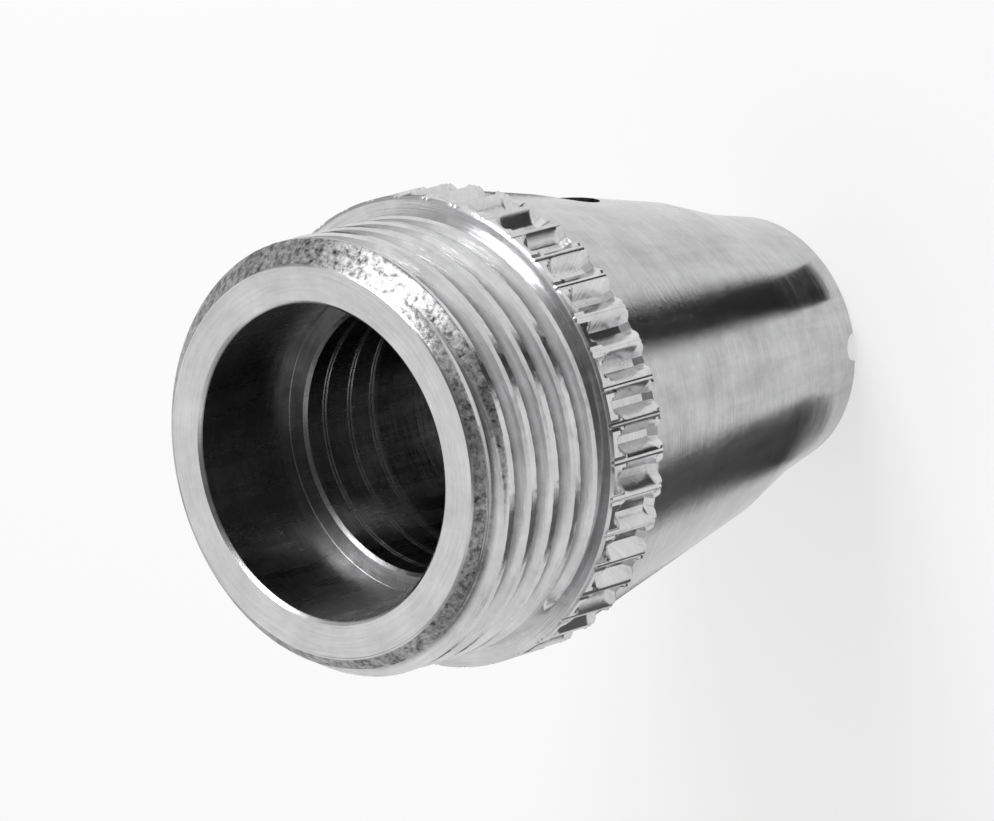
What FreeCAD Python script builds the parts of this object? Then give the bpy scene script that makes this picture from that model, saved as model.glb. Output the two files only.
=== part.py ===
"""Plasma torch nozzle: one turned and plated metal piece, modelled in its own frame.

The axis is Z. The nozzle stands on the flat end of its tip at Z = 0, with its threaded
mouth upwards, so the origin is the centre of the tip's end face. Seen from above, angles
run anticlockwise from +X, where the gas port is drilled. Millimetres throughout.
"""
import FreeCAD, Part
import math
import os
import Sketcher

NODE = "nozzle_body"

# Driving dimensions, each written once. Lengths along the axis are stacked end to end.
DIMENSIONS = {
    # outside, from the tip upwards
    "tip_length": 3.05,
    "tip_end_dia": 11.74,
    "tip_start_dia": 13.02,
    "nose_length": 3.85,
    "cone_length": 13.0,
    "cone_end_dia": 15.5,
    "cone_start_dia": 21.0,
    "collar_width": 3.5,
    "collar_dia": 21.6,
    "thread_length": 7.4,
    "thread_dia": 20.0,
    "mouth_rim_dia": 17.74,
    # inside, with depths from the mouth face
    "seat_bore_dia": 14.4,
    "seat_bore_depth": 6.0,
    "main_bore_dia": 12.45,
    "main_bore_depth": 22.0,
    "outlet_dia": 8.0,
    "throat_length": 3.0,
    # external thread M20 x 1.5, cut a little shallow
    "thread_pitch": 1.5,
    "thread_depth": 0.68,
    "thread_land": 0.45,
    "thread_flank_angle": 30.0,
    "thread_start_angle": -142.6,
    "thread_runout_gap": 0.05,
    "thread_overcut": 0.05,
    # knurled grip
    "knurl_count": 40.0,
    "knurl_depth": 0.6,
    "knurl_floor_width": 0.42,
    "knurl_mouth_width": 1.25,
    "knurl_rim": 0.35,
    "knurl_lead": 0.75,
    "knurl_tail": 0.4,
    "knurl_overcut": 0.1,
    # drilled gas port and the notch in the tip
    "port_dia": 4.0,
    "port_height": 13.5,
    "port_chamfer": 0.2,
    "notch_width": 1.3,
    "notch_height": 0.8,
    "notch_depth": 0.8,
    # broken edges
    "mouth_edge": 0.1,
    "bore_chamfer": 0.16,
    "collar_chamfer": 0.12,
    "tip_chamfer": 0.15,
}

# Heights above the tip's end face.
Z_NOSE = "dims.tip_length"
Z_CONE = Z_NOSE + " + dims.nose_length"
Z_COLLAR_REAR = Z_CONE + " + dims.cone_length"
Z_COLLAR_FRONT = Z_COLLAR_REAR + " + dims.collar_width"
Z_MOUTH = Z_COLLAR_FRONT + " + dims.thread_length"

# Radii that more than one feature uses.
R_THREAD = "dims.thread_dia / 2"
R_COLLAR = "dims.collar_dia / 2"
R_KNURL_FLOOR = R_COLLAR + " - dims.knurl_depth"
R_CONE_START = "dims.cone_start_dia / 2"

# Half widths of the thread groove at its root and where the cutter ends, past the crest.
GROOVE_GAP = "(dims.thread_pitch - dims.thread_land) / 2"
FLANK_TANGENT = "tan(dims.thread_flank_angle * 1 deg)"
GROOVE_ROOT = f"{GROOVE_GAP} - dims.thread_depth * {FLANK_TANGENT}"
GROOVE_TOP = f"{GROOVE_GAP} + dims.thread_overcut * {FLANK_TANGENT}"

ORIGIN_POINT = (-1, 1)
HORIZONTAL_AXIS = -1
VERTICAL_AXIS = -2


def make_sheet(doc):
    """Write the driving dimensions into a spreadsheet, one named cell each."""
    sheet = doc.addObject("Spreadsheet::Sheet", "dims")
    for row, (name, value) in enumerate(DIMENSIONS.items(), start=1):
        sheet.set(f"A{row}", name)
        sheet.set(f"B{row}", str(value))
        sheet.setAlias(f"B{row}", name)
    doc.recompute()
    return sheet


def origin_plane(body, role):
    """Return one of the body's own origin planes."""
    for feature in body.Origin.OriginFeatures:
        if feature.Role == role:
            return feature
    raise ValueError(role)


def add_sketch(body, name, role, height=0.0, turn=0.0):
    """Attach a sketch to an origin plane, raised along Z or turned about Z."""
    sketch = body.newObject("Sketcher::SketchObject", name)
    sketch.AttachmentSupport = (origin_plane(body, role), "")
    sketch.MapMode = "FlatFace"
    if role == "XY_Plane":
        shift, axis = FreeCAD.Vector(0, 0, height), FreeCAD.Vector(0, 0, 1)
    else:
        shift, axis = FreeCAD.Vector(0, 0, 0), FreeCAD.Vector(0, 1, 0)
    sketch.AttachmentOffset = FreeCAD.Placement(shift, FreeCAD.Rotation(axis, turn))
    return sketch


def value_of(sheet, expression):
    """Work out an expression of the sheet's cells as a plain number."""
    result = sheet.evalExpression(expression.replace("dims.", ""))
    return float(getattr(result, "Value", result))


def pin_point(sketch, sheet, line, along, expression):
    """Hold the start of a line at a distance from the origin that the sheet gives."""
    value = value_of(sheet, expression)
    if value == 0:
        axis = HORIZONTAL_AXIS if along == "DistanceY" else VERTICAL_AXIS
        sketch.addConstraint(Sketcher.Constraint("PointOnObject", line, 1, axis))
        return
    index = sketch.addConstraint(Sketcher.Constraint(along, *ORIGIN_POINT, line, 1, value))
    sketch.setExpression(f"Constraints[{index}]", expression)


def draw_outline(sketch, sheet, corners):
    """Draw a closed outline whose corners are pairs of expressions."""
    points = [FreeCAD.Vector(value_of(sheet, x), value_of(sheet, y), 0) for x, y in corners]
    count = len(points)
    for here in range(count):
        sketch.addGeometry(Part.LineSegment(points[here], points[(here + 1) % count]), False)
    for here in range(count):
        after = (here + 1) % count
        sketch.addConstraint(Sketcher.Constraint("Coincident", here, 2, after, 1))
    for here, (x, y) in enumerate(corners):
        pin_point(sketch, sheet, here, "DistanceX", x)
        pin_point(sketch, sheet, here, "DistanceY", y)


def turned_blank(body, sheet):
    """Turn the whole outline: tip, nose, cone, collar, thread blank and stepped bore."""
    throat_top = f"{Z_MOUTH} - dims.main_bore_depth"
    seat = f"{Z_MOUTH} - dims.seat_bore_depth"
    outline = [
        ("dims.tip_end_dia / 2 - dims.tip_chamfer", "0"),
        ("dims.tip_end_dia / 2", "dims.tip_chamfer"),
        ("dims.tip_start_dia / 2", Z_NOSE),
        ("dims.cone_end_dia / 2", Z_CONE),
        (R_CONE_START, Z_COLLAR_REAR),
        (R_COLLAR, Z_COLLAR_REAR),
        (R_COLLAR, f"{Z_COLLAR_FRONT} - dims.collar_chamfer"),
        (f"{R_COLLAR} - dims.collar_chamfer", Z_COLLAR_FRONT),
        (R_THREAD, Z_COLLAR_FRONT),
        (R_THREAD, f"{Z_MOUTH} - (dims.thread_dia - dims.mouth_rim_dia + dims.mouth_edge) / 2"),
        ("(dims.mouth_rim_dia + dims.mouth_edge) / 2", f"{Z_MOUTH} - dims.mouth_edge"),
        ("dims.mouth_rim_dia / 2 - dims.mouth_edge", Z_MOUTH),
        ("dims.seat_bore_dia / 2 + dims.bore_chamfer", Z_MOUTH),
        ("dims.seat_bore_dia / 2", f"{Z_MOUTH} - dims.bore_chamfer"),
        ("dims.seat_bore_dia / 2", seat),
        ("dims.main_bore_dia / 2 + dims.bore_chamfer", seat),
        ("dims.main_bore_dia / 2", f"{seat} - dims.bore_chamfer"),
        ("dims.main_bore_dia / 2", throat_top),
        ("dims.outlet_dia / 2", f"{throat_top} - dims.throat_length"),
        ("dims.outlet_dia / 2", "0"),
    ]
    sketch = add_sketch(body, "turned_outline", "XZ_Plane")
    draw_outline(sketch, sheet, outline)
    blank = body.newObject("PartDesign::Revolution", "turned_blank")
    blank.Profile = sketch
    blank.ReferenceAxis = (sketch, ["V_Axis"])
    blank.Angle = 360.0
    return blank


def knurl_section(body, sheet, name, height, floor):
    """Draw the knurl valley's section across +X, at a height above the tip."""
    half_floor = "dims.knurl_floor_width / 2"
    spread = "(dims.knurl_mouth_width - dims.knurl_floor_width) / 2 / dims.knurl_depth"
    top = f"{R_COLLAR} + dims.knurl_overcut"
    half_top = f"{half_floor} + ({top} - ({floor})) * {spread}"
    sketch = add_sketch(body, name, "XY_Plane", value_of(sheet, height))
    sketch.setExpression("AttachmentOffset.Base.z", height)
    draw_outline(sketch, sheet, [
        (floor, f"-({half_floor})"),
        (top, f"-({half_top})"),
        (top, half_top),
        (floor, half_floor),
    ])
    return sketch


def knurl_valleys(doc, body, sheet):
    """Cut one knurl valley and repeat it round the collar.

    The valley starts behind a plain rim, deepens along a ramp, keeps its depth, and
    then rises again to run out onto the cone.
    """
    ramp_top = f"{Z_COLLAR_FRONT} - dims.knurl_rim"
    rise = f"({R_CONE_START} - ({R_KNURL_FLOOR})) * dims.knurl_overcut / dims.knurl_tail"
    stations = [
        ("knurl_rim_end", ramp_top, R_COLLAR),
        ("knurl_front", f"{ramp_top} - dims.knurl_lead", R_KNURL_FLOOR),
        ("knurl_rear", f"{Z_COLLAR_REAR} + dims.knurl_tail", R_KNURL_FLOOR),
        ("knurl_run_out", f"{Z_COLLAR_REAR} - dims.knurl_overcut", f"{R_CONE_START} + {rise}"),
    ]
    sections = [knurl_section(body, sheet, *station) for station in stations]
    doc.recompute()
    valley = body.newObject("PartDesign::SubtractiveLoft", "knurl_valley")
    valley.Profile = sections[0]
    valley.Sections = sections[1:]
    valley.Ruled = True
    doc.recompute()
    valleys = body.newObject("PartDesign::PolarPattern", "knurl_valleys")
    valleys.Originals = [valley]
    valleys.Axis = (origin_plane(body, "Z_Axis"), [""])
    valleys.Angle = 360.0
    valleys.setExpression("Occurrences", "dims.knurl_count")
    body.Tip = valleys
    return valleys


def thread_groove(doc, body, sheet):
    """Cut the right-hand thread groove, from the collar up past the mouth."""
    start = f"{Z_COLLAR_FRONT} + dims.thread_runout_gap + {GROOVE_GAP}"
    root = f"{R_THREAD} - dims.thread_depth"
    top = f"{R_THREAD} + dims.thread_overcut"
    sketch = add_sketch(body, "thread_form", "XZ_Plane", turn=DIMENSIONS["thread_start_angle"])
    sketch.setExpression("AttachmentOffset.Rotation.Angle", "dims.thread_start_angle * 1 deg")
    draw_outline(sketch, sheet, [
        (root, f"{start} - ({GROOVE_ROOT})"),
        (top, f"{start} - ({GROOVE_TOP})"),
        (top, f"{start} + {GROOVE_TOP}"),
        (root, f"{start} + {GROOVE_ROOT}"),
    ])
    doc.recompute()
    groove = body.newObject("PartDesign::SubtractiveHelix", "thread_groove")
    groove.Profile = sketch
    groove.ReferenceAxis = (sketch, ["V_Axis"])
    groove.Mode = "pitch-height-angle"
    groove.setExpression("Pitch", "dims.thread_pitch")
    groove.setExpression("Height", "dims.thread_length + dims.thread_pitch")
    groove.LeftHanded = False
    body.Tip = groove
    return groove


def add_circle(sketch, sheet, height, diameter):
    """Draw a circle on the sketch's upright axis, at a height above the tip."""
    rise = value_of(sheet, height)
    size = value_of(sheet, diameter)
    normal = FreeCAD.Vector(0, 0, 1)
    sketch.addGeometry(Part.Circle(FreeCAD.Vector(0, rise, 0), normal, size / 2), False)
    sketch.addConstraint(Sketcher.Constraint("PointOnObject", 0, 3, VERTICAL_AXIS))
    index = sketch.addConstraint(Sketcher.Constraint("DistanceY", *ORIGIN_POINT, 0, 3, rise))
    sketch.setExpression(f"Constraints[{index}]", height)
    index = sketch.addConstraint(Sketcher.Constraint("Diameter", 0, size))
    sketch.setExpression(f"Constraints[{index}]", diameter)


def gas_port(doc, body, sheet):
    """Drill the gas port through the wall on the +X side."""
    sketch = body.newObject("Sketcher::SketchObject", "gas_port_form")
    sketch.AttachmentSupport = (origin_plane(body, "YZ_Plane"), "")
    sketch.MapMode = "FlatFace"
    add_circle(sketch, sheet, "dims.port_height", "dims.port_dia")
    doc.recompute()
    port = body.newObject("PartDesign::Pocket", "gas_port")
    port.Profile = sketch
    port.Type = 0
    port.setExpression("Length", R_COLLAR)
    port.Reversed = True
    body.Tip = port
    return port


def port_edge(doc, body, sheet):
    """Break the outer edge of the gas port."""
    doc.recompute()
    base = body.Tip
    radius = value_of(sheet, "dims.port_dia") / 2
    reach = value_of(sheet, "(dims.main_bore_dia + dims.cone_end_dia) / 4")
    height = value_of(sheet, "dims.port_height")
    names = []
    for number, edge in enumerate(base.Shape.Edges, start=1):
        middle = edge.valueAt((edge.FirstParameter + edge.LastParameter) / 2)
        from_axis = math.hypot(middle.y, middle.z - height)
        if middle.x > reach and abs(from_axis - radius) < 1e-3:
            names.append(f"Edge{number}")
    edge_break = body.newObject("PartDesign::Chamfer", "port_edge")
    edge_break.Base = (base, names)
    edge_break.setExpression("Size", "dims.port_chamfer")
    body.Tip = edge_break
    return edge_break


def tip_notch(doc, body, sheet):
    """File the round notch into the tip's rim, on the -Y side."""
    sketch = body.newObject("Sketcher::SketchObject", "tip_notch_form")
    sketch.AttachmentSupport = (origin_plane(body, "XZ_Plane"), "")
    sketch.MapMode = "FlatFace"
    sketch.setExpression("AttachmentOffset.Base.z", "dims.tip_end_dia / 2 - dims.notch_depth")
    # The cutter's radius follows from the notch's width at the end face and its height.
    radius = "((dims.notch_width / 2) ^ 2 + dims.notch_height ^ 2) / 2 / dims.notch_height"
    add_circle(sketch, sheet, f"dims.notch_height - {radius}", f"2 * ({radius})")
    doc.recompute()
    notch = body.newObject("PartDesign::Pocket", "tip_notch")
    notch.Profile = sketch
    notch.Type = 0
    notch.setExpression("Length", "2 * dims.notch_depth")
    notch.Reversed = True
    body.Tip = notch
    return notch


def must_remove(doc, feature, before):
    """Return the new volume, or stop when the feature has cut nothing away."""
    doc.recompute()
    after = feature.Shape.Volume
    print(f"{feature.Name}: {before:.3f} -> {after:.3f} mm3")
    if not feature.Shape.isValid():
        raise RuntimeError(f"{feature.Name} leaves a faulty solid")
    if not after < before - 0.01:
        raise RuntimeError(f"{feature.Name} cuts nothing")
    return after


def build():
    """Build the nozzle, check every feature and write its STEP file."""
    doc = FreeCAD.newDocument("plasma_torch_nozzle")
    sheet = make_sheet(doc)
    body = doc.addObject("PartDesign::Body", NODE)
    body.Label = NODE
    blank = turned_blank(body, sheet)
    doc.recompute()
    volume = blank.Shape.Volume
    volume = must_remove(doc, gas_port(doc, body, sheet), volume)
    volume = must_remove(doc, port_edge(doc, body, sheet), volume)
    volume = must_remove(doc, tip_notch(doc, body, sheet), volume)
    volume = must_remove(doc, knurl_valleys(doc, body, sheet), volume)
    volume = must_remove(doc, thread_groove(doc, body, sheet), volume)
    for item in doc.Objects:
        if "Invalid" in item.State or "Error" in item.State:
            raise RuntimeError(f"{item.Name}: {item.State}")
    shape = body.Shape
    if shape.isNull() or not shape.isValid() or len(shape.Solids) != 1:
        raise RuntimeError(f"{NODE} is not one valid solid")
    os.makedirs("parts", exist_ok=True)
    shape.exportStep(f"parts/{NODE}.step")
    box = shape.BoundBox
    print(f"{NODE}: {shape.Volume:.2f} mm3, {box.XLength:.3f} x {box.YLength:.3f} x {box.ZLength:.3f}")


build()
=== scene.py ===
"""Look of the plasma torch nozzle: one bright plated piece on a pale floor, in a soft studio."""

import math

import bpy
import numpy as np
from mathutils import Matrix, Vector


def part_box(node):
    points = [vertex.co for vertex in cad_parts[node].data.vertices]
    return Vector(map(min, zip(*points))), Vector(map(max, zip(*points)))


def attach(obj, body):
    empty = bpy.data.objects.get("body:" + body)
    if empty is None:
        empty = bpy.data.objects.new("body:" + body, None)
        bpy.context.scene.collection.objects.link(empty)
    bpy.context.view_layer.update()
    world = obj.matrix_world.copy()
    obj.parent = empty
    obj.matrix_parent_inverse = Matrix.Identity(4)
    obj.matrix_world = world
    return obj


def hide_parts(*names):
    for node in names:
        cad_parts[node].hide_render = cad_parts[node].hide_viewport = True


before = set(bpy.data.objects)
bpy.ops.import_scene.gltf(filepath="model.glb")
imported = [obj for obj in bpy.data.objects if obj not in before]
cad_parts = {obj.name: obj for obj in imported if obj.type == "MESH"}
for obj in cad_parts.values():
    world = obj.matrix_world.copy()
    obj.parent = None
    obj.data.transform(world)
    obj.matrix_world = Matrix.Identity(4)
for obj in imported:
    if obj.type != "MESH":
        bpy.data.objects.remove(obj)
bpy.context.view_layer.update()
MM = 0.001

# Main sizes in millimetres, as in the part's own dimensions.
low_corner, high_corner = (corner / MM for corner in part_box("nozzle_body"))
LENGTH = high_corner.z
R_COLLAR = 10.8
R_TIP, R_NOSE, R_CONE_END, R_CONE = 5.87, 6.51, 7.75, 10.5
Z_NOSE, Z_CONE, Z_REAR, Z_FRONT = 3.05, 6.9, 19.9, 23.4
R_CREST, R_ROOT, R_RIM = 10.0, 9.32, 8.87
R_SEAT, R_BORE, R_OUTLET = 7.2, 6.225, 4.0
Z_SEAT, Z_THROAT, THROAT = LENGTH - 6.0, LENGTH - 22.0, 3.0
PITCH, LAND = 1.5, 0.45
GROOVE_START_TURN, GROOVE_START_DEPTH = -142.6, 6.825
TEETH, KNURL_FLOOR = 40, 10.17
FLOOR_HALF_TURN, TOOTH_FLAT_START = 1.05, 3.95
PORT_RADIUS, PORT_HEIGHT = 2.0, 13.5
NOTCH_WIDTH, NOTCH_HEIGHT, NOTCH_DEPTH = 1.3, 0.8, 0.8

random = np.random.default_rng(7)


def ring_noise(count):
    """Return a smooth closed random curve over a full turn, about -1 to 1."""
    knots = random.uniform(-1, 1, count)

    def value(turn):
        place = (np.asarray(turn) % 1.0) * count
        left = np.floor(place).astype(int) % count
        share = place - np.floor(place)
        share = share * share * (3 - 2 * share)
        return knots[left] * (1 - share) + knots[(left + 1) % count] * share

    return value


def ramp(value, start, end):
    """Rise smoothly from 0 at start to 1 at end."""
    share = np.clip((np.asarray(value, float) - start) / (end - start), 0, 1)
    return share * share * (3 - 2 * share)


# ---------------------------------------------------------------- columns round the axis
COLUMNS = TEETH * 16
tooth_steps = np.array([0, 0.6, 0.95, 1.25, 2.1, 3.1, 3.8, 4.08, 4.5])
tooth_turns = np.concatenate([tooth_steps, 9.0 - tooth_steps[-2:0:-1]])
knurl_angles = np.concatenate([tooth_turns + 9.0 * k for k in range(TEETH)] + [[360.0]])
even_angles = np.linspace(0, 360, COLUMNS + 1)


# ---------------------------------------------------------------- thread
burr_in = ring_noise(2600)
burr_out = ring_noise(1900)
crest_wave = ring_noise(70)


def thread_radius(depth, angle):
    """Return the outside radius of the threaded neck, depth below the mouth in mm."""
    turned = (angle - GROOVE_START_TURN) % 360.0
    first = GROOVE_START_DEPTH - turned / 240.0
    away = depth - first
    turn_index = np.round(-away / PITCH)
    turn_index = np.maximum(turn_index, 0)
    away = away + turn_index * PITCH
    total = (turned + 360.0 * turn_index) / 2160.0
    gap = (PITCH - LAND) / 2
    floor = 0.10
    share = np.clip((np.abs(away) - floor) / (gap - floor), 0, 1)
    share = share + 0.06 * np.sin(2 * np.pi * share) * -1
    cut = (R_CREST - R_ROOT) * (1 - share)
    cut = cut * np.where(turn_index == 0, ramp(turned, 0.0, 9.0), 1.0)
    radius = R_CREST - cut
    # a thin ragged burr stands on the crest's edge nearest the mouth
    lip = np.exp(-((away - gap - 0.02) / 0.06) ** 2)
    radius = radius + lip * (0.020 + 0.030 * burr_in(total)) * (cut < 0.3)
    rear = np.exp(-((away + gap + 0.01) / 0.05) ** 2)
    radius = radius + rear * 0.016 * burr_out(total) * (cut < 0.3)
    return radius


def neck_radius(depth, angle):
    """Return the neck's radius with the mouth's chamfer."""
    chamfer = R_RIM + depth + 0.05 * 0
    return np.minimum(chamfer, thread_radius(depth, angle))


# ---------------------------------------------------------------- knurl
def knurl_radius(height, angle):
    """Return the collar's radius at a height and angle."""
    front_end, front_full = Z_FRONT - 0.35, Z_FRONT - 1.1
    rear_full = Z_REAR + 0.42
    floor = np.interp(
        height,
        [Z_REAR - 0.01, Z_REAR, rear_full, front_full, front_end, Z_FRONT],
        [R_CONE, R_CONE, KNURL_FLOOR, KNURL_FLOOR, R_COLLAR, R_COLLAR],
    )
    off = np.abs((np.asarray(angle) + 4.5) % 9.0 - 4.5)
    rise = (R_COLLAR - KNURL_FLOOR) / (TOOTH_FLAT_START - FLOOR_HALF_TURN)
    wall = floor + np.maximum(0, off - FLOOR_HALF_TURN) * rise
    rounding = 0.06 * np.clip((4.5 - off) / 0.7, 0, 1) ** 2 * (off > 3.7)
    return np.minimum(R_COLLAR - rounding, wall)


# ---------------------------------------------------------------- rows, bore upwards then outside down
rows = []


def add_row(radius, height, angles):
    """Add one closed row of vertices, as arrays over the columns."""
    radius = np.broadcast_to(radius, angles.shape)
    height = np.broadcast_to(height, angles.shape)
    turn = np.radians(angles)
    rows.append(np.stack([radius * np.cos(turn), radius * np.sin(turn), height], axis=1))


def add_line(start, end, steps, angles, first=True):
    """Add rows along a straight run from (radius, height) to (radius, height)."""
    for step in range(0 if first else 1, steps + 1):
        share = step / steps
        radius = start[0] + (end[0] - start[0]) * share
        height = start[1] + (end[1] - start[1]) * share
        add_row(radius, height, angles)


outlet_top = Z_THROAT - THROAT
add_line((R_OUTLET, 0.0), (R_OUTLET, outlet_top), 2, even_angles)
add_line((R_OUTLET, outlet_top), (R_BORE, Z_THROAT), 3, even_angles, False)
for ring_depth in (13.4, 10.6, 10.4, 9.1, 8.9, 7.4, 7.2):
    level = LENGTH - ring_depth
    add_row(R_BORE, level - 0.05, even_angles)
    add_row(R_BORE + 0.035, level, even_angles)
    add_row(R_BORE, level + 0.04, even_angles)
add_row(R_BORE, Z_SEAT - 0.16, even_angles)
add_line((R_BORE, Z_SEAT - 0.16), (R_BORE + 0.16, Z_SEAT), 1, even_angles, False)
add_line((R_BORE + 0.16, Z_SEAT), (R_SEAT - 0.03, Z_SEAT), 1, even_angles, False)
add_line((R_SEAT - 0.03, Z_SEAT), (R_SEAT, Z_SEAT + 0.03), 1, even_angles, False)
add_line((R_SEAT, Z_SEAT + 0.03), (R_SEAT, LENGTH - 0.16), 4, even_angles, False)
add_line((R_SEAT, LENGTH - 0.16), (R_SEAT + 0.14, LENGTH - 0.02), 1, even_angles, False)
add_line((R_SEAT + 0.17, LENGTH), (R_RIM - 0.14, LENGTH), 4, even_angles)
add_line((R_RIM - 0.14, LENGTH), (R_RIM - 0.04, LENGTH - 0.02), 1, even_angles, False)

# the helical rows follow the thread, so its edges stay crisp
gap = (PITCH - LAND) / 2
steps = np.array([-0.75, -gap - 0.05, -gap, -gap + 0.06, -0.36, -0.20, -0.08,
                  0.08, 0.20, 0.36, gap - 0.06, gap, gap + 0.05])
per_turn = len(steps)
for turn in range(1, 8):
    for step in steps[::1]:
        start = GROOVE_START_DEPTH - GROOVE_START_TURN / 240.0 - PITCH * (6 - turn) + step
        depth = np.clip(start - even_angles / 240.0, 0.0, Z_FRONT * 0 + 7.4)
        radius = neck_radius(depth, even_angles)
        add_row(radius, LENGTH - depth, even_angles)

# the collar's front face, where the columns move onto the teeth
blend_angles = even_angles * 0.5 + knurl_angles * 0.5
add_row(10.12, Z_FRONT, blend_angles)
add_row(10.35, Z_FRONT, knurl_angles)
add_row(R_COLLAR - 0.16, Z_FRONT, knurl_angles)
add_row(R_COLLAR - 0.10, Z_FRONT - 0.03, knurl_angles)
for height in (-0.10, -0.22, -0.35, -0.48, -0.62, -0.78, -0.95, -1.1, -1.3, -1.8, -2.4,
               -2.9, -3.1, -3.2, -3.3, -3.4, -3.46):
    level = Z_FRONT + height
    add_row(knurl_radius(level, knurl_angles), level, knurl_angles)
edge = knurl_radius(Z_REAR, knurl_angles)
add_row(np.maximum(edge - 0.06, np.minimum(edge, R_CONE)), Z_REAR, knurl_angles)
add_row(R_CONE, Z_REAR, knurl_angles)
add_line((R_CONE, Z_REAR), (R_CONE_END, Z_CONE), 8, knurl_angles, False)
add_line((R_CONE_END, Z_CONE), (R_NOSE, Z_NOSE), 3, knurl_angles, False)
add_line((R_NOSE, Z_NOSE), (R_TIP + 0.03, 0.16), 3, knurl_angles, False)
add_row(R_TIP - 0.02, 0.06, knurl_angles)
add_row(R_TIP - 0.09, 0.012, knurl_angles)
add_row(R_TIP - 0.17, 0.0, knurl_angles)
add_row((R_TIP + R_OUTLET) / 2, 0.0, knurl_angles * 0.5 + even_angles * 0.5)
add_row(R_OUTLET, 0.0, even_angles)

grid = np.stack(rows) * MM
row_count, column_count = grid.shape[:2]
index = np.arange(row_count * column_count).reshape(row_count, column_count)
faces = np.stack([index[:-1, :-1], index[1:, :-1], index[1:, 1:], index[:-1, 1:]], axis=-1)
mesh = bpy.data.meshes.new("nozzle")
mesh.from_pydata(grid.reshape(-1, 3).tolist(), [], faces.reshape(-1, 4).tolist())
nozzle = bpy.data.objects.new("nozzle", mesh)
bpy.context.scene.collection.objects.link(nozzle)

import bmesh
work = bmesh.new()
work.from_mesh(mesh)
bmesh.ops.remove_doubles(work, verts=work.verts, dist=2e-6)
bmesh.ops.recalc_face_normals(work, faces=work.faces)
work.to_mesh(mesh)
work.free()
mesh.update()
print("rows", row_count, "columns", column_count, "faces", len(mesh.polygons))


# ---------------------------------------------------------------- port and notch
def cutter(name, radius, start, end, wide_from=None, wide_by=0.0):
    """Make a round bar between two points, flared at its far end, to cut with."""
    start, end = Vector(start) * MM, Vector(end) * MM
    length = (end - start).length
    stations = [(0.0, radius * MM)]
    if wide_from is not None:
        stations.append((wide_from * MM, radius * MM))
        stations.append((length, radius * MM + (length - wide_from * MM) * wide_by))
    else:
        stations.append((length, radius * MM))
    sides = 96
    points, polygons = [], []
    for along, size in stations:
        for side in range(sides):
            turn = 2 * math.pi * side / sides
            points.append((size * math.cos(turn), size * math.sin(turn), along))
    for level in range(len(stations) - 1):
        for side in range(sides):
            after = (side + 1) % sides
            base = level * sides
            polygons.append((base + side, base + after, base + sides + after, base + sides + side))
    polygons.append(tuple(reversed(range(sides))))
    top = (len(stations) - 1) * sides
    polygons.append(tuple(top + side for side in range(sides)))
    bar_mesh = bpy.data.meshes.new(name)
    bar_mesh.from_pydata(points, [], polygons)
    bar = bpy.data.objects.new(name, bar_mesh)
    bpy.context.scene.collection.objects.link(bar)
    direction = (end - start).normalized()
    bar.matrix_world = Matrix.Translation(start) @ direction.to_track_quat("Z", "Y").to_matrix().to_4x4()
    return bar


notch_radius = ((NOTCH_WIDTH / 2) ** 2 + NOTCH_HEIGHT ** 2) / 2 / NOTCH_HEIGHT
notch_axis = NOTCH_HEIGHT - notch_radius
port_cutter = cutter("port_cutter", PORT_RADIUS, (3.0, 0, PORT_HEIGHT), (14.0, 0, PORT_HEIGHT))
notch_cutter = cutter(
    "notch_cutter", notch_radius, (0, -(R_TIP - NOTCH_DEPTH), notch_axis), (0, -8.0, notch_axis)
)
for tool in (port_cutter, notch_cutter):
    cut = nozzle.modifiers.new("cut", "BOOLEAN")
    cut.operation = "DIFFERENCE"
    cut.object = tool
    cut.solver = "EXACT"
bpy.context.view_layer.update()
solved = nozzle.evaluated_get(bpy.context.evaluated_depsgraph_get())
cut_mesh = bpy.data.meshes.new_from_object(solved)
nozzle.modifiers.clear()
nozzle.data = cut_mesh
for tool in (port_cutter, notch_cutter):
    bpy.data.objects.remove(tool)
nozzle.data.shade_smooth()
nozzle.data.set_sharp_from_angle(angle=math.radians(24))
nozzle.data.calc_loop_triangles()
print("triangles after the cuts", len(nozzle.data.loop_triangles))

# ---------------------------------------------------------------- plated metal
metal = bpy.data.materials.new("plated_metal")
metal.use_nodes = True
nodes, links = metal.node_tree.nodes, metal.node_tree.links
shader = nodes["Principled BSDF"]
shader.inputs["Metallic"].default_value = 1.0


def math_node(operation, first, second=None):
    """Add a math node fed by sockets or numbers."""
    node = nodes.new("ShaderNodeMath")
    node.operation = operation
    for slot, value in enumerate((first, second)):
        if value is None:
            continue
        if isinstance(value, (int, float)):
            node.inputs[slot].default_value = value
        else:
            links.new(value, node.inputs[slot])
    return node.outputs[0]


def noise_node(vector, scale, detail=4.0, roughness=0.6):
    """Add a noise texture read at a vector socket."""
    node = nodes.new("ShaderNodeTexNoise")
    node.inputs["Scale"].default_value = scale
    node.inputs["Detail"].default_value = detail
    node.inputs["Roughness"].default_value = roughness
    links.new(vector, node.inputs["Vector"])
    return node.outputs["Fac"]


def range_node(value, low, high, new_low, new_high):
    """Map a value from one range to another, clamped."""
    node = nodes.new("ShaderNodeMapRange")
    for name, number in (("From Min", low), ("From Max", high), ("To Min", new_low), ("To Max", new_high)):
        node.inputs[name].default_value = number
    links.new(value, node.inputs["Value"])
    return node.outputs["Result"]


def combine_node(x, y, z):
    """Join three sockets or numbers into a vector."""
    node = nodes.new("ShaderNodeCombineXYZ")
    for slot, value in enumerate((x, y, z)):
        if isinstance(value, (int, float)):
            node.inputs[slot].default_value = value
        else:
            links.new(value, node.inputs[slot])
    return node.outputs[0]


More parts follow.
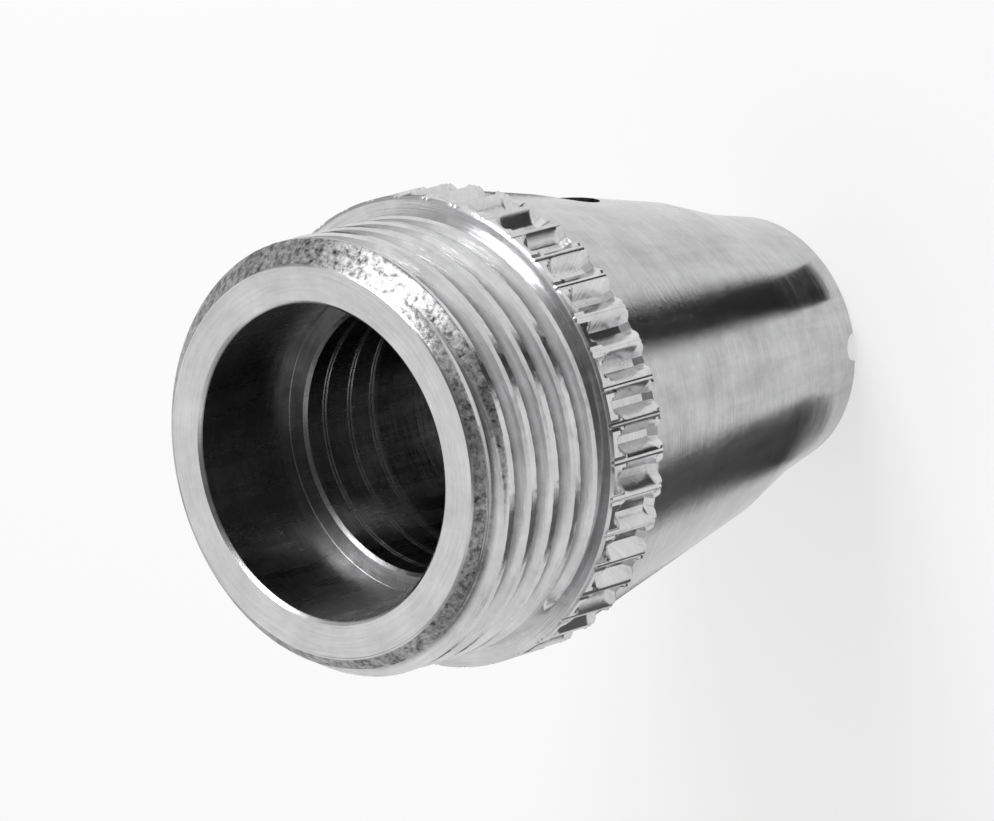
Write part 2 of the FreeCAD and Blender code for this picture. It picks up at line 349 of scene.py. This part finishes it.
coordinates = nodes.new("ShaderNodeTexCoord")
split = nodes.new("ShaderNodeSeparateXYZ")
links.new(coordinates.outputs["Object"], split.inputs[0])
x, y, z = split.outputs
radius = math_node("SQRT", math_node("ADD", math_node("MULTIPLY", x, x), math_node("MULTIPLY", y, y)))
cos_turn = math_node("DIVIDE", x, radius)
sin_turn = math_node("DIVIDE", y, radius)

# fine turned rings: they vary quickly along the axis and outwards, slowly round it
ring_place = combine_node(
    math_node("MULTIPLY", cos_turn, 0.00035), math_node("MULTIPLY", sin_turn, 0.00035), math_node("ADD", z, radius)
)
rings = noise_node(ring_place, 9000.0, 5.0, 0.7)
wide_rings = noise_node(ring_place, 2200.0, 3.0, 0.6)
# soft stains and specks of the worn plate
stains = noise_node(coordinates.outputs["Object"], 420.0, 6.0, 0.7)
specks = noise_node(coordinates.outputs["Object"], 5200.0, 3.0, 0.6)
# dull scratched streaks that run along the cone: they vary the roughness, and on the cone they also darken the colour
# as a painted reflection
streak_place = combine_node(
    math_node("MULTIPLY", cos_turn, 0.012), math_node("MULTIPLY", sin_turn, 0.012), math_node("MULTIPLY", z, 0.18)
)
streaks_and_painted_reflection = noise_node(streak_place, 900.0, 5.0, 0.6)

tone = math_node("ADD", range_node(stains, 0.3, 0.7, -0.10, 0.06), range_node(rings, 0.3, 0.7, -0.07, 0.05))
# painted reflection: the cone and nose are darkened in streaks along the axis
on_cone = range_node(z, 0.0198, 0.0200, 1.0, 0.0)
tone = math_node("ADD", tone, math_node("MULTIPLY", on_cone, range_node(streaks_and_painted_reflection, 0.35, 0.65, -0.17, -0.08)))
# the chamfer at the mouth is rough, and its colour is darkened as a painted dark reflection; the root of the thread is
# darkened as painted shade
chamfer_off = math_node("ABSOLUTE", math_node("SUBTRACT", math_node("ADD", z, radius), (LENGTH + R_RIM) * MM))
on_chamfer = math_node("MULTIPLY", range_node(chamfer_off, 0.00004, 0.00009, 1.0, 0.0), range_node(z, 0.0307, 0.03075, 1.0, 0.0))
grit_and_painted_darkening = noise_node(coordinates.outputs["Object"], 3200.0, 4.0, 0.75)
# painted reflection: the chamfer's colour is darkened with the grit noise
tone = math_node("ADD", tone, math_node("MULTIPLY", on_chamfer, range_node(grit_and_painted_darkening, 0.35, 0.62, -0.56, -0.18)))
in_neck = range_node(z, 0.0233, 0.0235, 0.0, 1.0)
# painted shade: mask for the darkening at the root of the thread
painted_root_shade = math_node("MULTIPLY", range_node(radius, 0.00937, 0.00965, 1.0, 0.0), range_node(radius, 0.0090, 0.0092, 0.0, 1.0))
painted_root_shade = math_node("MULTIPLY", math_node("MULTIPLY", painted_root_shade, in_neck), range_node(z, 0.0300, 0.0302, 1.0, 0.0))
tone = math_node("ADD", tone, math_node("MULTIPLY", painted_root_shade, range_node(grit_and_painted_darkening, 0.3, 0.7, -0.50, -0.30)))
tone = math_node("ADD", tone, range_node(specks, 0.72, 0.82, 0.0, -0.2))

# the unplated inside is darker than the outside
hollow = math_node("MULTIPLY", range_node(radius, 0.00722, 0.00727, 1.0, 0.0), range_node(z, 0.0069, 0.0075, 0.0, 1.0))
base = math_node("ADD", tone, range_node(hollow, 0.0, 1.0, 0.66, 0.30))
tint = nodes.new("ShaderNodeCombineColor")
links.new(base, tint.inputs[0])
links.new(base, tint.inputs[1])
links.new(math_node("MULTIPLY", base, 1.01), tint.inputs[2])
links.new(tint.outputs[0], shader.inputs["Base Color"])
rough = math_node("ADD", range_node(streaks_and_painted_reflection, 0.35, 0.7, 0.12, 0.24), range_node(specks, 0.65, 0.8, 0.0, 0.12))
rough = math_node("ADD", rough, math_node("MULTIPLY", on_chamfer, 0.22))
rough = math_node("ADD", rough, math_node("MULTIPLY", hollow, 0.10))
links.new(rough, shader.inputs["Roughness"])
bump = nodes.new("ShaderNodeBump")
bump.inputs["Strength"].default_value = 0.35
bump.inputs["Distance"].default_value = 0.00004
height = math_node("ADD", math_node("MULTIPLY", rings, 0.7), math_node("MULTIPLY", wide_rings, 0.8))
height = math_node("ADD", height, math_node("MULTIPLY", specks, 0.2))
height = math_node("ADD", height, math_node("MULTIPLY", on_chamfer, math_node("MULTIPLY", grit_and_painted_darkening, 1.5)))
links.new(height, bump.inputs["Height"])
links.new(bump.outputs[0], shader.inputs["Normal"])
nozzle.data.materials.clear()
nozzle.data.materials.append(metal)
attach(nozzle, "root")
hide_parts("nozzle_body")

# ---------------------------------------------------------------- studio
# cards: azimuth in degrees, then near and far ends, widths there in millimetres, and tone
FLAGS = [
    (-55, 6.4, 60, 2.4, 26, 0.03),
    (-133, 6.6, 60, 5.0, 34, 0.12),
    (60, 10.0, 60, 3.0, 26, 0.08),
    (150, 10.0, 60, 3.0, 20, 0.08),
]
bpy.ops.mesh.primitive_plane_add(size=2.0, location=(0, 0, 0))
floor = bpy.context.object
floor.name = "floor"
paper = bpy.data.materials.new("floor_paper")
paper.use_nodes = True
paper_shader = paper.node_tree.nodes["Principled BSDF"]
paper_shader.inputs["Base Color"].default_value = (0.9, 0.9, 0.9, 1.0)
paper_shader.inputs["Roughness"].default_value = 0.9
paper_shader.inputs["Specular IOR Level"].default_value = 0.0
floor.data.materials.append(paper)
# the floor looks nearly white to the camera and in reflections, and still keeps the soft shadow
glow_nodes, glow_links = paper.node_tree.nodes, paper.node_tree.links
path = glow_nodes.new("ShaderNodeLightPath")
seen = glow_nodes.new("ShaderNodeMath")
seen.operation = "MAXIMUM"
glow_links.new(path.outputs["Is Camera Ray"], seen.inputs[0])
glow_links.new(path.outputs["Is Glossy Ray"], seen.inputs[1])
either = glow_nodes.new("ShaderNodeMath")
either.operation = "MAXIMUM"
glow_links.new(seen.outputs[0], either.inputs[0])
glow_links.new(path.outputs["Is Transmission Ray"], either.inputs[1])
amount = glow_nodes.new("ShaderNodeMath")
amount.operation = "MULTIPLY"
amount.inputs[1].default_value = 0.62
glow_links.new(either.outputs[0], amount.inputs[0])
glow = glow_nodes.new("ShaderNodeEmission")
glow.inputs["Color"].default_value = (1, 1, 1, 1)
glow.inputs["Strength"].default_value = 1.0
blend = glow_nodes.new("ShaderNodeMixShader")
glow_links.new(amount.outputs[0], blend.inputs[0])
glow_links.new(paper_shader.outputs[0], blend.inputs[1])
glow_links.new(glow.outputs[0], blend.inputs[2])
glow_links.new(blend.outputs[0], glow_nodes["Material Output"].inputs["Surface"])


def flag(name, azimuth, near, far, near_width, far_width, tone):
    """Lay a dark card on the floor, pointing outwards, that only reflections show."""
    half = [(near, -near_width / 2), (far, -far_width / 2), (far, far_width / 2), (near, near_width / 2)]
    turn = math.radians(azimuth)
    corners = [
        ((a * math.cos(turn) - b * math.sin(turn)) * MM, (a * math.sin(turn) + b * math.cos(turn)) * MM, 0.0002)
        for a, b in half
    ]
    card_mesh = bpy.data.meshes.new(name)
    card_mesh.from_pydata(corners, [], [(0, 1, 2, 3)])
    card = bpy.data.objects.new(name, card_mesh)
    bpy.context.scene.collection.objects.link(card)
    cloth = bpy.data.materials.new(name)
    cloth.use_nodes = True
    cloth.node_tree.nodes["Principled BSDF"].inputs["Base Color"].default_value = (tone, tone, tone, 1)
    cloth.node_tree.nodes["Principled BSDF"].inputs["Roughness"].default_value = 1.0
    card_mesh.materials.append(cloth)
    card.visible_camera = False
    card.visible_diffuse = False
    card.visible_shadow = False


for number, card in enumerate(FLAGS, start=1):
    flag(f"flag_{number}", *card)

# dark parts of the studio, as azimuth, elevation, inner and outer reach in degrees, and how dark
SKY_PATCHES = [
    (-75, 50, 14, 44, 0.85),
    (-165, 25, 8, 30, 0.55),
    (60, 20, 10, 34, 0.45),
    (-20, 30, 6, 22, 0.40),
]
world = bpy.data.worlds.new("studio")
bpy.context.scene.world = world
world.use_nodes = True
air, wires = world.node_tree.nodes, world.node_tree.links
sky = air["Background"]
sky.inputs["Strength"].default_value = 0.9
direction = air.new("ShaderNodeTexCoord")


def sky_patch(azimuth, elevation, inner, outer):
    """Return 1 inside a round patch of sky and 0 outside it, with a soft edge; angles in degrees."""
    turn, rise = math.radians(azimuth), math.radians(elevation)
    aim = air.new("ShaderNodeVectorMath")
    aim.operation = "DOT_PRODUCT"
    aim.inputs[1].default_value = (
        math.cos(rise) * math.cos(turn), math.cos(rise) * math.sin(turn), math.sin(rise)
    )
    wires.new(direction.outputs["Generated"], aim.inputs[0])
    patch = air.new("ShaderNodeMapRange")
    patch.interpolation_type = "SMOOTHSTEP"
    patch.inputs["From Min"].default_value = math.cos(math.radians(outer))
    patch.inputs["From Max"].default_value = math.cos(math.radians(inner))
    wires.new(aim.outputs["Value"], patch.inputs["Value"])
    return patch.outputs["Result"]


def dim_sky(tone, patch, amount):
    """Take an amount of light away from the sky inside a patch."""
    loss = air.new("ShaderNodeMath")
    loss.operation = "MULTIPLY"
    loss.inputs[1].default_value = amount
    wires.new(patch, loss.inputs[0])
    rest = air.new("ShaderNodeMath")
    rest.operation = "SUBTRACT"
    rest.use_clamp = True
    if isinstance(tone, float):
        rest.inputs[0].default_value = tone
    else:
        wires.new(tone, rest.inputs[0])
    wires.new(loss.outputs[0], rest.inputs[1])
    return rest.outputs[0]


tone_of_sky = 1.0
for patch in SKY_PATCHES:
    tone_of_sky = dim_sky(tone_of_sky, sky_patch(*patch[:4]), patch[4])
wires.new(tone_of_sky, sky.inputs["Color"])


def soft_box(name, place, size, power):
    """Hang a square soft lamp that faces the nozzle."""
    lamp = bpy.data.lights.new(name, "AREA")
    lamp.size = size
    lamp.energy = power
    holder = bpy.data.objects.new(name, lamp)
    bpy.context.scene.collection.objects.link(holder)
    holder.location = place
    aim = Vector((0, 0, 0.015)) - Vector(place)
    holder.rotation_euler = aim.to_track_quat("-Z", "Y").to_euler()
    return holder


soft_box("key", (0.34, 0.02, 0.26), 0.20, 1.1)

# ---------------------------------------------------------------- camera
lens = bpy.data.cameras.new("camera")
lens.sensor_width = 36.0
lens.lens = 36.0 * 10000 / 994
lens.clip_start = 0.01
camera = bpy.data.objects.new("camera", lens)
bpy.context.scene.collection.objects.link(camera)
camera.location = (0.078273, -0.296146, 0.352911)
camera.rotation_mode = "QUATERNION"
camera.rotation_quaternion = (0.653922, 0.180024, 0.314598, -0.664082)
bpy.context.scene.camera = camera

view = bpy.context.scene.view_settings
view.view_transform = "Standard"
